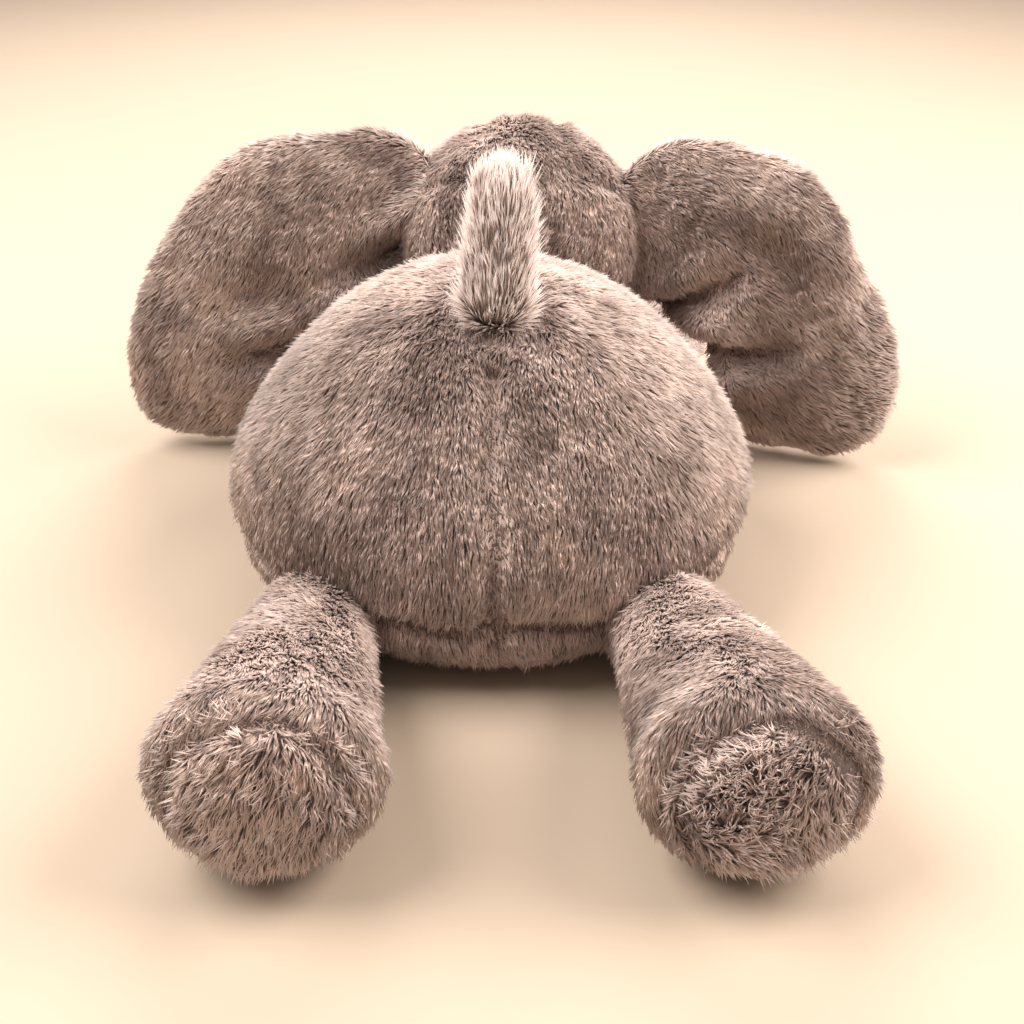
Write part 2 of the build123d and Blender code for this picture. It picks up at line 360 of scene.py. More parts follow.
def pile_material(name, root, body, tip, patch_strength=0.8, mottle_strength=0.65):
    """Plush pile: dark at the root, pale at the tip, each tuft a little lighter or darker at random, and
    darker near seams by painted shade.
    """
    material, nodes, links, shader = new_material(name)
    along = nodes.new("ShaderNodeAttribute")
    along.attribute_name = "along"
    tint = nodes.new("ShaderNodeAttribute")
    tint.attribute_name = "tint"
    mottle = add_mottle(nodes, 26.0, 120.0)
    length_ramp = colour_ramp(nodes, [(0.05, root), (0.45, body), (0.9, tip)])
    links.new(along.outputs["Fac"], length_ramp.inputs["Fac"])
    # each tuft's random tone times the painted seam shade; the dark low end is the painted shade
    tone_and_shade_ramp = colour_ramp(nodes, [(0.0, (0.58, 0.54, 0.51)), (0.7, (1, 1, 1)), (1.0, (1.1, 1.1, 1.1))])
    links.new(tint.outputs["Fac"], tone_and_shade_ramp.inputs["Fac"])
    toned_and_shaded = mix_colour(nodes, links, 1.0, length_ramp.outputs["Color"], tone_and_shade_ramp.outputs["Color"],
                        "MULTIPLY")
    patch_ramp = colour_ramp(nodes, [(0.38, (0.55, 0.5, 0.47)), (0.5, (0.98, 0.98, 0.98)),
                                     (0.62, (1.18, 1.17, 1.16))])
    links.new(mottle.outputs["Patch"], patch_ramp.inputs["Fac"])
    patched = mix_colour(nodes, links, patch_strength, toned_and_shaded, patch_ramp.outputs["Color"], "MULTIPLY")
    fine_ramp = colour_ramp(nodes, [(0.36, (0.6, 0.56, 0.54)), (0.6, (1.12, 1.12, 1.12))])
    links.new(mottle.outputs["Mottle"], fine_ramp.inputs["Fac"])
    mottled = mix_colour(nodes, links, mottle_strength, patched, fine_ramp.outputs["Color"], "MULTIPLY")
    links.new(mottled, shader.inputs["Base Color"])
    rough = nodes.new("ShaderNodeMapRange")
    rough.inputs["To Min"].default_value = 0.95
    rough.inputs["To Max"].default_value = 0.62
    links.new(along.outputs["Fac"], rough.inputs["Value"])
    links.new(rough.outputs["Result"], shader.inputs["Roughness"])
    shader.inputs["Specular IOR Level"].default_value = 0.22
    shader.inputs["Sheen Weight"].default_value = 0.35
    shader.inputs["Sheen Roughness"].default_value = 0.5
    shader.inputs["Sheen Tint"].default_value = (0.95, 0.88, 0.84, 1)
    return material


def cloth_material(name, dark, light, weave_scale, bump_height=0.25, roughness=0.95):
    """A knitted or woven cloth: fine crossing ribs over a slow mottle."""
    material, nodes, links, shader = new_material(name)
    mottle = add_mottle(nodes, 30.0, 260.0)
    place = nodes.new("ShaderNodeTexCoord")
    ribs = []
    for direction in ("X", "Z"):
        wave = nodes.new("ShaderNodeTexWave")
        wave.bands_direction = direction
        wave.inputs["Scale"].default_value = weave_scale
        wave.inputs["Distortion"].default_value = 1.2
        wave.inputs["Detail"].default_value = 1.0
        links.new(place.outputs["Object"], wave.inputs["Vector"])
        ribs.append(wave.outputs["Fac"])
    crossed = nodes.new("ShaderNodeMath")
    crossed.operation = "MULTIPLY"
    links.new(ribs[0], crossed.inputs[0])
    links.new(ribs[1], crossed.inputs[1])
    woven = mix_colour(nodes, links, crossed.outputs["Value"], (*dark, 1), (*light, 1))
    fine_ramp = colour_ramp(nodes, [(0.3, (0.82, 0.82, 0.82)), (0.7, (1.08, 1.08, 1.08))])
    links.new(mottle.outputs["Mottle"], fine_ramp.inputs["Fac"])
    links.new(mix_colour(nodes, links, 0.8, woven, fine_ramp.outputs["Color"], "MULTIPLY"),
              shader.inputs["Base Color"])
    bump = nodes.new("ShaderNodeBump")
    bump.inputs["Strength"].default_value = bump_height
    bump.inputs["Distance"].default_value = 0.3 * MM
    links.new(crossed.outputs["Value"], bump.inputs["Height"])
    links.new(bump.outputs["Normal"], shader.inputs["Normal"])
    shader.inputs["Roughness"].default_value = roughness
    shader.inputs["Sheen Weight"].default_value = 0.2
    return material


def lumpy_material(name, dark, light, scale, roughness, coat=0.0, strength=0.5, cells=False):
    """Loose or moulded stuff: lumps or cells of a given size, with their own shading."""
    material, nodes, links, shader = new_material(name)
    place = nodes.new("ShaderNodeTexCoord")
    texture = nodes.new("ShaderNodeTexVoronoi" if cells else "ShaderNodeTexNoise")
    texture.inputs["Scale"].default_value = scale
    links.new(place.outputs["Object"], texture.inputs["Vector"])
    height = texture.outputs["Distance" if cells else "Fac"]
    ramp = colour_ramp(nodes, [(0.2, dark), (0.75, light)])
    links.new(height, ramp.inputs["Fac"])
    links.new(ramp.outputs["Color"], shader.inputs["Base Color"])
    bump = nodes.new("ShaderNodeBump")
    bump.inputs["Strength"].default_value = strength
    bump.inputs["Distance"].default_value = 1 * MM
    links.new(height, bump.inputs["Height"])
    links.new(bump.outputs["Normal"], shader.inputs["Normal"])
    shader.inputs["Roughness"].default_value = roughness
    shader.inputs["Coat Weight"].default_value = coat
    return material


PILE = pile_material("mauve plush pile", root=(0.4, 0.283, 0.238), body=(0.56, 0.42, 0.362),
                     tip=(0.69, 0.56, 0.5))
TAIL_PILE = pile_material("long tail pile", root=(0.33, 0.232, 0.196), body=(0.46, 0.345, 0.297),
                          tip=(0.66, 0.545, 0.48), patch_strength=0.3, mottle_strength=0.25)
# the backing's dark brown is partly painted shade: it shows as the shade between the pile's roots and along
# the parted seams
BACKING_AND_ROOT_SHADE = cloth_material("plush backing", (0.11, 0.072, 0.06), (0.19, 0.13, 0.108), 900)
STUFFING = lumpy_material("fibre stuffing", (0.74, 0.73, 0.70), (0.93, 0.92, 0.90), 160, 0.98)
POUCH_CLOTH = cloth_material("pouch calico", (0.62, 0.58, 0.50), (0.84, 0.80, 0.72), 700)
BEANS = lumpy_material("plastic beans", (0.45, 0.47, 0.5), (0.90, 0.91, 0.92), 330, 0.42, 0.2, 0.9, True)
WASHER = lumpy_material("moulded washer", (0.78, 0.78, 0.75), (0.88, 0.88, 0.86), 420, 0.5, 0.0, 0.15)
EYE = lumpy_material("glossy eye", (0.012, 0.008, 0.006), (0.03, 0.02, 0.016), 500, 0.08, 1.0, 0.02)


def dress(piece, material):
    piece.data.materials.clear()
    piece.data.materials.append(material)
    if len(piece.data.polygons):
        piece.data.polygons.foreach_set("material_index", [0] * len(piece.data.polygons))


# ---- the strand that every bit of pile is made of ----
def one_strand():
    """One strand of pile, a unit long: three-sided, rooted in the cloth and drawn out to a point."""
    bpy.ops.mesh.primitive_cone_add(vertices=3, radius1=0.5, radius2=0, depth=1, location=(0, 0, 0.5))
    piece = fresh("strand")
    heights = coords(piece)[:, 2]
    along = piece.data.attributes.new("along", "FLOAT", "POINT")
    side = piece.data.attributes.new("side", "FLOAT", "POINT")
    root = 0
    for index, height in enumerate(heights):
        along.data[index].value = height
        side.data[index].value = 0.5
        if height < 0.5:
            side.data[index].value = root / 2
            root += 1
    return piece


class Tree:
    """A geometry node tree, with short ways to add its nodes."""

    def __init__(self, name):
        self.group = bpy.data.node_groups.new(name, "GeometryNodeTree")

    def node(self, kind, inputs=None, **settings):
        node = self.group.nodes.new(kind)
        for setting, value in settings.items():
            setattr(node, setting, value)
        for socket, value in (inputs or {}).items():
            target = node.inputs[socket]
            if isinstance(value, bpy.types.NodeSocket):
                self.group.links.new(value, target)
            else:
                target.default_value = value
        return node

    def maths(self, operation, first, second=0.0):
        return self.node("ShaderNodeMath", {0: first, 1: second}, operation=operation).outputs[0]

    def vector(self, operation, first, second=None, scale=None):
        inputs = {0: first}
        if second is not None:
            inputs[1] = second
        if scale is not None:
            inputs["Scale"] = scale
        return self.node("ShaderNodeVectorMath", inputs, operation=operation).outputs[0]

    def attribute(self, name, kind="FLOAT"):
        node = self.node("GeometryNodeInputNamedAttribute", {"Name": name}, data_type=kind)
        return node.outputs["Attribute"]

    def random(self, kind, low, high, seed):
        node = self.node("FunctionNodeRandomValue", {"Seed": seed}, data_type=kind)
        pair = {"FLOAT": (2, 3), "FLOAT_VECTOR": (0, 1)}[kind]
        node.inputs[pair[0]].default_value = low
        node.inputs[pair[1]].default_value = high
        return node.outputs[{"FLOAT": 1, "FLOAT_VECTOR": 0}[kind]]

    def store(self, geometry, name, value, kind="FLOAT", domain="POINT"):
        inputs = {"Geometry": geometry, "Name": name, "Value": value}
        node = self.node("GeometryNodeStoreNamedAttribute", inputs, data_type=kind, domain=domain)
        return node.outputs["Geometry"]


CLUMP_SCALE = 230.0         # the noise that leans neighbouring strands together
WISP_SCALE = 650.0          # and the one that parts a few of them


def pile_tree(strand_piece):
    """Scatter strands over a skin, combed by its attributes, in small leaning clumps."""
    tree = Tree("plush pile")
    sockets = tree.group.interface
    for name, kind in (("Geometry", "Geometry"), ("Density", "Float"), ("Width", "Float"),
                       ("Ruffle", "Float"), ("Clump", "Float"), ("Seed", "Int"), ("Rows", "Float")):
        sockets.new_socket(name, in_out="INPUT", socket_type=f"NodeSocket{kind}")
    sockets.new_socket("Geometry", in_out="OUTPUT", socket_type="NodeSocketGeometry")
    entry = tree.node("NodeGroupInput").outputs
    scatter = tree.node("GeometryNodeDistributePointsOnFaces",
                        {"Mesh": entry["Geometry"], "Density": entry["Density"], "Seed": entry["Seed"]})
    place = tree.node("GeometryNodeInputPosition").outputs[0]
    clump_noise = tree.node("ShaderNodeTexNoise", {"Vector": place, "Scale": CLUMP_SCALE, "Detail": 1.0})
    clump = tree.vector("SUBTRACT", clump_noise.outputs["Color"], (0.5, 0.5, 0.5))
    wisp_noise = tree.node("ShaderNodeTexNoise", {"Vector": place, "Scale": WISP_SCALE, "Detail": 0.0})
    wisp = tree.vector("SUBTRACT", wisp_noise.outputs["Color"], (0.5, 0.5, 0.5))
    loose = tree.random("FLOAT_VECTOR", (-1, -1, -1), (1, 1, 1), 3)
    lean = tree.attribute("comb", "FLOAT_VECTOR")
    for drift, strength in ((clump, "Clump"), (wisp, "Clump"), (loose, "Ruffle")):
        lean = tree.vector("ADD", lean, tree.vector("SCALE", drift, scale=entry[strength]))
    turn = tree.node("FunctionNodeAlignRotationToVector", {"Vector": lean}, axis="Z").outputs[0]
    spin = tree.random("FLOAT", 0, math.tau, 5)
    roll = tree.node("FunctionNodeAxisAngleToRotation", {"Axis": (0, 0, 1), "Angle": spin})
    turn = tree.node("FunctionNodeRotateRotation", {"Rotation": turn, "Rotate By": roll.outputs[0]},
                     rotation_space="LOCAL").outputs[0]
    length = tree.maths("MULTIPLY", tree.attribute("nap_length"), tree.random("FLOAT", 0.72, 1.12, 7))
    width = tree.maths("MULTIPLY", entry["Width"], tree.random("FLOAT", 0.7, 1.25, 8))
    size = tree.node("ShaderNodeCombineXYZ", {0: width, 1: width, 2: length}).outputs[0]
    count = tree.node("GeometryNodeInputIndex").outputs[0]
    points = tree.store(scatter.outputs["Points"], "strand", count)
    # each tuft's random tone, times the painted shade near seams
    tint = tree.maths("MULTIPLY", tree.attribute("shade"), tree.random("FLOAT", 0.6, 1, 11))
    points = tree.store(points, "tint", tint)
    source = tree.node("GeometryNodeObjectInfo", {"Object": strand_piece}, transform_space="ORIGINAL")
    planted = {"Points": points, "Instance": source.outputs["Geometry"], "Rotation": turn, "Scale": size}
    instances = tree.node("GeometryNodeInstanceOnPoints", planted)
    real = tree.node("GeometryNodeRealizeInstances", {"Geometry": instances.outputs[0]}).outputs[0]
    strand = tree.attribute("strand")       # each strand has its own cell of the chart
    column = tree.maths("MODULO", strand, entry["Rows"])
    row = tree.maths("FLOOR", tree.maths("DIVIDE", strand, entry["Rows"]))
    across = tree.maths("ADD", tree.maths("MULTIPLY", tree.attribute("side"), 0.6), 0.2)
    upward = tree.maths("ADD", tree.maths("MULTIPLY", tree.attribute("along"), 0.8), 0.1)
    u = tree.maths("DIVIDE", tree.maths("ADD", column, across), entry["Rows"])
    v = tree.maths("DIVIDE", tree.maths("ADD", row, upward), entry["Rows"])
    chart = tree.node("ShaderNodeCombineXYZ", {0: u, 1: v}).outputs[0]
    charted = tree.store(real, "OFBake", chart, "FLOAT2", "CORNER")
    tree.node("NodeGroupOutput", {0: charted})
    return tree.group


STRAND = one_strand()
PILE_TREE = pile_tree(STRAND)
STRANDS_PER_SQUARE_METRE = 2.0e6
CHART_ROOM = 1.15           # cells in the chart for each strand expected
DRIFT_SCALE = 26            # the slow swirls of a brushed nap
pile_count = 0


def combed(points, facing, flow, lift, seams, seed, swirl):
    """Which way the pile lies at each point of a skin, how much of its length it keeps, and how much painted
    shade darkens it near the seams.
    """
    flow = np.array(flow, float)
    flow = np.broadcast_to(flow, points.shape).copy()
    for index, point in enumerate(points):
        drift = noise.noise_vector(Vector(point) * DRIFT_SCALE + Vector((0, seed, 0)))
        flow[index] += np.array(drift) * swirl
    flow -= facing * np.sum(flow * facing, axis=1, keepdims=True)
    flow /= np.maximum(np.linalg.norm(flow, axis=1, keepdims=True), 1e-6)
    comb = flow + facing * lift
    share = np.ones(len(points))
    shade = np.ones(len(points))
    for seam in seams:
        pull, off = seam.near(points)
        comb += off * (pull * seam.parting_and_shade * 1.3)[:, None]
        share *= 1 - 0.7 * pull * min(seam.parting_and_shade, 1)
        # painted shade: the pile's colour is darkened near each seam
        shade *= 1 - 0.85 * pull * min(seam.parting_and_shade, 1)
    comb /= np.maximum(np.linalg.norm(comb, axis=1, keepdims=True), 1e-6)
    return comb, share, shade


def keep_panel(patch, chosen):
    """Cut away the faces of a patch whose middles aren't on the panel."""
    centres = np.empty(len(patch.data.polygons) * 3)
    patch.data.polygons.foreach_get("center", centres)
    only(patch)
    bpy.ops.object.mode_set(mode="EDIT")
    bpy.ops.mesh.select_mode(type="FACE")
    bpy.ops.mesh.select_all(action="DESELECT")
    bpy.ops.object.mode_set(mode="OBJECT")
    patch.data.polygons.foreach_set("select", ~chosen(centres.reshape(-1, 3)))
    bpy.ops.object.mode_set(mode="EDIT")
    bpy.ops.mesh.delete(type="FACE")
    bpy.ops.object.mode_set(mode="OBJECT")


def grow_pile(name, skin, body, flow, chosen=None, length=5.2 * MM, lift=0.44, seams=(), material=PILE,
              density=1.0, width=0.78 * MM, ruffle=0.09, clump=1.0, swirl=0.8, shape_length=None):
    """Grow the pile of one panel.

    chosen tells which points are on the panel, and flow is a direction or a rule for one.
    """
    global pile_count
    pile_count += 1
    patch = skin.copy()
    patch.data = skin.data.copy()
    patch.name = name
    patch.data.name = name
    bpy.context.scene.collection.objects.link(patch)
    points, facing = coords(patch), normals(patch)
    if callable(flow):
        flow = flow(points)
    comb, share, shade = combed(points, facing, flow, lift, seams, pile_count, swirl)
    lengths = np.full(len(points), length) * share
    if shape_length is not None:
        lengths *= shape_length(points)
    patch.data.attributes.new("comb", "FLOAT_VECTOR", "POINT").data.foreach_set("vector", comb.ravel())
    patch.data.attributes.new("nap_length", "FLOAT", "POINT").data.foreach_set("value", lengths)
    # painted shade near the seams, read into the strands' colour
    patch.data.attributes.new("shade", "FLOAT", "POINT").data.foreach_set("value", shade)
    if chosen is not None:
        keep_panel(patch, chosen)
    area = sum(face.area for face in patch.data.polygons)
    expected = area * STRANDS_PER_SQUARE_METRE * density
    modifier = patch.modifiers.new("pile", "NODES")
    modifier.node_group = PILE_TREE
    values = {"Density": STRANDS_PER_SQUARE_METRE * density, "Width": width, "Ruffle": ruffle, "Clump": clump,
              "Seed": pile_count, "Rows": float(math.ceil(math.sqrt(expected * CHART_ROOM)))}
    for item in PILE_TREE.interface.items_tree:
        if item.in_out == "INPUT" and item.name in values:
            modifier[item.identifier] = values[item.name]
    finish_modifiers(patch)
    for spare in ("comb", "nap_length", "shade", "strand", "side"):
        if spare in patch.data.attributes:
            patch.data.attributes.remove(patch.data.attributes[spare])
    patch.data.shade_smooth()
    dress(patch, material)
    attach(patch, body)
    return patch


def stuffing_in(skin, name, body, *nodes):
    """The filling of a skin: the same shape, drawn in from the cloth."""
    fill_with(drawn_in(skin, name, STUFFING_GAP), body, *nodes)


def sewn_skin(skin, body, fill, *nodes):
    """Dress a stuffed skin and let it stand for the covers' nodes. fill, how full it is, is not used."""
    dress(skin, BACKING_AND_ROOT_SHADE)
    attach(skin, body)
    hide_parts(*nodes)


# ---- torso ----
TORSO_WIDE = TORSO_RADIUS - NAP + 1 * MM
TORSO_CENTRE = Vector((TORSO_MIDDLE.x + 1 * MM, TORSO_MIDDLE.y, 40 * MM))
TORSO_TALL = TORSO_HIGH.z - NAP - 3.5 * MM - TORSO_CENTRE.z
# how full the bun is, from the floor up to its top
TORSO_GIRTH = [(0.0, 1.02), (0.12, 1.1), (0.25, 1.08), (0.4, 1.045), (0.55, 0.985), (0.68, 0.93),
               (0.86, 0.93), (1.0, 1.0)]


def torso_form():
    """An upright bun, fuller low down, cut flat where it lies."""
    form = ball("torso_skin", TORSO_CENTRE, (TORSO_WIDE, TORSO_WIDE, TORSO_TALL), 56, 36)
    points = coords(form)
    heights, girths = zip(*TORSO_GIRTH)
    girth = np.interp(points[:, 2] / TORSO_HIGH.z, heights, girths)
    middle = np.array((TORSO_CENTRE.x, TORSO_CENTRE.y))
    points[:, :2] = middle + (points[:, :2] - middle) * girth[:, None]
    set_coords(form, points)
    only(form)
    bpy.ops.object.mode_set(mode="EDIT")
    bpy.ops.mesh.select_all(action="SELECT")
    bpy.ops.mesh.bisect(plane_co=(0, 0, FLOOR_REST), plane_no=(0, 0, 1), use_fill=True, clear_inner=True)
    bpy.ops.object.mode_set(mode="OBJECT")
    return felted(form)


# ---- head ----
def head_form():
    """A round crown with fuller cheeks low at the front."""
    crown = ball("crown", HEAD, (HEAD_RADIUS - NAP,) * 3)
    cheeks = [ball("cheek", HEAD + Vector((side * 15 * MM, -15 * MM, -13 * MM)), (25 * MM, 25 * MM, 23 * MM))
              for side in SIDES.values()]
    return felted(joined("head_skin", [crown, *cheeks]))


# ---- trunk ----
TRUNK_BEND = PIVOT["trunk_tip"]
TRUNK_ROOT = PIVOT["trunk_base"]
TRUNK_TIP_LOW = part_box("trunk_tip_cover")[0]
TRUNK_END = Vector((TRUNK_BEND.x, TRUNK_TIP_LOW.y + 11 * MM, TRUNK_TIP_LOW.z + 12 * MM))


def trunk_base_form():
    root = ball("root", TRUNK_ROOT, (19 * MM,) * 3)
    barrel = turned("barrel", TRUNK_ROOT, TRUNK_BEND, 16.5 * MM, 13 * MM)
    bend = ball("bend", TRUNK_BEND, (12.6 * MM,) * 3)
    return felted(joined("trunk_base_skin", [root, barrel, bend]), 3 * MM)


def trunk_tip_form():
    root = ball("root", TRUNK_BEND, (11.6 * MM,) * 3)
    barrel = turned("barrel", TRUNK_BEND, TRUNK_END, 11.6 * MM, 9.5 * MM)
    end = ball("end", TRUNK_END, (9.5 * MM,) * 3)
    return felted(joined("trunk_tip_skin", [root, barrel, end]), 3 * MM)


# ---- tail ----
TAIL_ROOT = PIVOT["tail"] + Vector((-0.5, -9, -2.5)) * MM
TAIL_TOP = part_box("tail_cover")[1].z
TAIL_END = Vector((TAIL_ROOT.x - 2 * MM, TAIL_ROOT.y + 3.5 * MM, TAIL_TOP - 15 * MM))


def tail_form():
    root = ball("root", TAIL_ROOT, (9.4 * MM, 8.6 * MM, 9 * MM))
    barrel = turned("barrel", TAIL_ROOT, TAIL_END, 8.8 * MM, 7.8 * MM)
    end = ball("end", TAIL_END, (7.6 * MM, 7 * MM, 7 * MM))
    return felted(joined("tail_skin", [root, barrel, end]), 3 * MM)


# ---- legs ----
LEGS = ("rear_leg_left", "rear_leg_right", "front_leg_left", "front_leg_right")
END_SAG = 1.08              # a leg's end spreads sideways under its own weight
ANKLE = 0.72                # the share of the leg's length where its end begins


class Leg:
    """A leg's places: its hip, the middle of its sole and the way it points."""

    def __init__(self, name):
        self.name = name
        self.rear = name.startswith("rear")
        self.hip = PIVOT[name]
        self.sole = middle_of(f"{name}_sole")
        self.sole += (self.sole - self.hip).normalized() * 3 * MM
        low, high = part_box(f"{name}_sole")
        self.sole_radius = (high.z - low.z) / 2 + 0.5 * MM
        self.along = (self.sole - self.hip).normalized()
        low, high = box_of(f"{name}_cover")
        self.end_radius = (high.z - low.z) / 2 - NAP + 1.5 * MM
        self.neck_radius = (16.8 if self.rear else 14.5) * MM

    def form(self):
        """A ball at the hip, a barrel that flares, and a full round end."""
        hip = self.hip - Vector((0, 0, 3 * MM))
        root = ball("root", hip, (18.6 * MM, 18 * MM, 16 * MM))
        ankle = self.hip.lerp(self.sole, ANKLE)
        barrel = turned("barrel", hip, ankle, self.neck_radius, self.end_radius * 0.93)
        end = turned("end", ankle, self.sole - self.along * 5 * MM, self.end_radius * 0.93, self.end_radius)
        rim_middle = self.sole - self.along * 10 * MM
        rim = ball("rim", rim_middle, (self.end_radius,) * 3)
        rim.data.transform(Matrix.Translation(-rim_middle))
        rim.data.transform(Matrix.Diagonal((END_SAG, 0.55, 1, 1)))
        rim.data.transform(Matrix.Translation(rim_middle))
        return felted(joined(f"{self.name}_skin", [root, barrel, end, rim]), 3.5 * MM, 8)

    def sole_form(self):
        """A round, domed sole panel, sewn into the leg's end."""
        radii = (self.sole_radius * END_SAG, self.sole_radius, 6.5 * MM)
        disc = ball(f"{self.name}_sole_skin", (0, 0, 0), radii)
        turn = self.along.to_track_quat("Z", "Y").to_matrix().to_4x4()
        disc.data.transform(Matrix.Translation(self.sole - self.along * 0.5 * MM) @ turn)
        return felted(disc, 3 * MM, 3)


# ---- ears ----
class Ear:
    """An ear's own plane: across it from the hinge, up it, and out through its back."""

    def __init__(self, word):
        self.word = word
        self.side = SIDES[word]
        low, high = box_of(f"ear_back_{word}", f"ear_front_{word}")
        self.hinge = PIVOT[f"ear_{word}"]
        far_x = high.x if self.side > 0 else low.x
        reach = abs(far_x - self.hinge.x)
        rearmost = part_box(f"ear_back_{word}")[1].y - 8 * MM
        sweep = math.asin(min(0.5, max(0.0, (rearmost - self.hinge.y) / reach)))
        self.across = Vector((self.side * math.cos(sweep), math.sin(sweep), 0))
        self.back = Vector((0, 0, 1)).cross(self.across) * self.side

    def place(self, across, up, back=0.0):
        """A point of the ear, from millimetres across, up and back."""
        foot = Vector((self.hinge.x, self.hinge.y, 0))
        return foot + self.across * across * MM + Vector((0, 0, up)) * MM + self.back * back * MM

    def local(self, points):
        """The same the other way, for many points."""
        shifted = (points - np.array((self.hinge.x, self.hinge.y, 0))) / MM
        across, back = shifted @ np.array(self.across), shifted @ np.array(self.back)
        return np.stack([across, shifted[:, 2], back], axis=1)


# each ear's outline in millimetres: across from the hinge, and up from the floor
EAR_EDGE = {
    "left": [(-21, 106), (-8, 119), (17, 121), (50, 115), (76, 91), (94, 59), (100, 29), (96, 14),
             (81, 4.5), (56, 3.5), (38, 8), (28, 24), (14, 43), (-2, 55), (-15, 69), (-22, 90)],
    "right": [(-18, 97), (-8, 112), (9, 119), (29, 118), (58, 107), (75, 85), (89, 59), (94, 35), (91, 17),
              (80, 5), (58, 3), (36, 4), (25, 14), (20, 29), (10, 45), (-4, 53), (-15, 65), (-20, 81)],
}
EAR_HALF_THICKNESS = 4.0
EAR_SHARE = 0.975           # how much of its width the ear keeps once it swells
EAR_HEM_FLARE = {"left": 4, "right": 10}    # how far the lower edge kicks back
EAR_WIDE, EAR_TALL = 90, 120
EAR_CUP = 9
EAR_GATHER = 5              # how far the root is drawn forward
EAR_STUFFING_GAP = 5.5 * MM
EAR_STUFFING_FOLD = 0.72    # the pad folds less than the cloth over it


def ear_form(ear):
    """A flat lobe cut to the ear's edge, before it is stuffed."""
    outline = bpy.data.curves.new(f"ear_{ear.word}_edge", "CURVE")
    outline.dimensions = "2D"
    outline.fill_mode = "BOTH"
    outline.extrude = EAR_HALF_THICKNESS * MM
    edge = outline.splines.new("BEZIER")
    edge.bezier_points.add(len(EAR_EDGE[ear.word]) - 1)
    for point, (across, up) in zip(edge.bezier_points, EAR_EDGE[ear.word]):
        point.co = (across * EAR_SHARE * MM, up * MM, 0)
        point.handle_left_type = "AUTO"
        point.handle_right_type = "AUTO"
    edge.use_cyclic_u = True
    flat = bpy.data.objects.new(f"ear_{ear.word}_skin", outline)
    bpy.context.scene.collection.objects.link(flat)
    only(flat)
    bpy.ops.object.convert(target="MESH")
    flat = bpy.context.object
    stand = Matrix((
        (ear.across.x, 0, ear.back.x, ear.hinge.x),
        (ear.across.y, 0, ear.back.y, ear.hinge.y),
        (0, 1, 0, 0),
        (0, 0, 0, 1),
    ))
    flat.data.transform(stand)
    flat.data.name = flat.name
    return felted(flat, 3.2 * MM, 2)


def ear_shape(ear, piece):
    """Cup the ear, gather its root and kick its lower edge back."""
    points = coords(piece)
    local = ear.local(points)
    across, up = local[:, 0], local[:, 1]
    reach = np.clip(across / EAR_WIDE, -0.2, 1.1)
    rise = up / EAR_TALL
    cup = EAR_CUP * np.sin(np.clip(rise, 0, 1) * math.pi) * np.clip(reach * 1.6, 0, 1)
    root_gather = -EAR_GATHER * np.exp(-((across + 6) / 16) ** 2)
    hem = EAR_HEM_FLARE[ear.word] * np.clip(1 - rise * 2.2, 0, 1) * np.clip(reach * 2 - 0.5, 0, 1)
    back = cup + root_gather + hem
    points += np.outer(back * MM, np.array(ear.back))
    set_coords(piece, points)


def ear_pleats(ear):
    """Two folds that run out from the root, deepest there, and a shallow crease further out."""
    pleats = []
    runs = {
        "left": [((-22, 88, 12, 72), 15, 5), ((8, 54, 56, 41), 13, 5.5), ((44, 66, 70, 64), 2.5, 8)],
        "right": [((-6, 52, 29, 73), 14, 5), ((6, 43, 50, 47), 14, 5), ((40, 84, 62, 74), 2.5, 8)],
    }[ear.word]
    for (x1, z1, x2, z2), depth, width in runs:
        points = []
        for step in range(40):
            share = step / 39
            bow = math.sin(share * math.pi) * 3
            spot = ear.place(x1 + (x2 - x1) * share, z1 + (z2 - z1) * share - bow, 14)
            points.append(spot)
        pleats.append((points, depth, width))
    return pleats


def fold(ear, piece, pleats, front_share=0.45, back_share=1.0):
    """Press the pleats into the ear's back, fading along their length."""
    points = coords(piece)
    local = ear.local(points)
    facing = normals(piece) @ np.array(ear.back)
    moved = np.zeros(len(points))
    for line, depth, width in pleats:
        path = ear.local(np.array([tuple(point) for point in line]))
        gap = np.linalg.norm(local[:, None, :2] - path[None, :, :2], axis=2)
        nearest = gap.argmin(axis=1)
        fade = np.clip(1.15 - nearest / len(path), 0.15, 1)
        apart = gap.min(axis=1) / width
        moved += depth * fade * (0.35 * np.exp(-(((apart - 2.1) / 1.1) ** 2)) - np.exp(-(apart**2)))
    share = np.where(facing > 0, back_share, front_share)
    points += np.outer(moved * share * MM, np.array(ear.back))
    set_coords(piece, points)


def drawn_in(skin, name, gap):
    """A copy of a skin, drawn in from it."""
    inner = skin.copy()
    inner.data = skin.data.copy()
    inner.name = name
    inner.data.name = name
    bpy.context.scene.collection.objects.link(inner)
    set_coords(inner, coords(inner) - normals(inner) * gap)
    return inner


def fill_with(filling, body, *nodes):
    """Dress a filling and let it stand for the plain ones."""
    dress(filling, STUFFING)
    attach(filling, body)
    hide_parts(*nodes)


# ---- make the forms, stuff them all at once ----
torso = torso_form()
head = head_form()
trunk_base = trunk_base_form()
trunk_tip = trunk_tip_form()
tail = tail_form()
legs = [Leg(name) for name in LEGS]
leg_skins = {leg.name: leg.form() for leg in legs}
sole_skins = {leg.name: leg.sole_form() for leg in legs}
ears = [Ear(word) for word in SIDES]
ear_skins = {ear.word: ear_form(ear) for ear in ears}

swelling = {torso: (2.0, 2.5 * MM), head: (2.0, 2 * MM)}
swelling.update({skin: (1.0, 1 * MM) for skin in (trunk_base, trunk_tip, tail)})
swelling.update({skin: (1.5, 2 * MM) for skin in leg_skins.values()})
swelling.update({skin: (1.0, 1 * MM) for skin in sole_skins.values()})
swelling.update({skin: (4.0, 6 * MM) for skin in ear_skins.values()})
stuff(swelling)

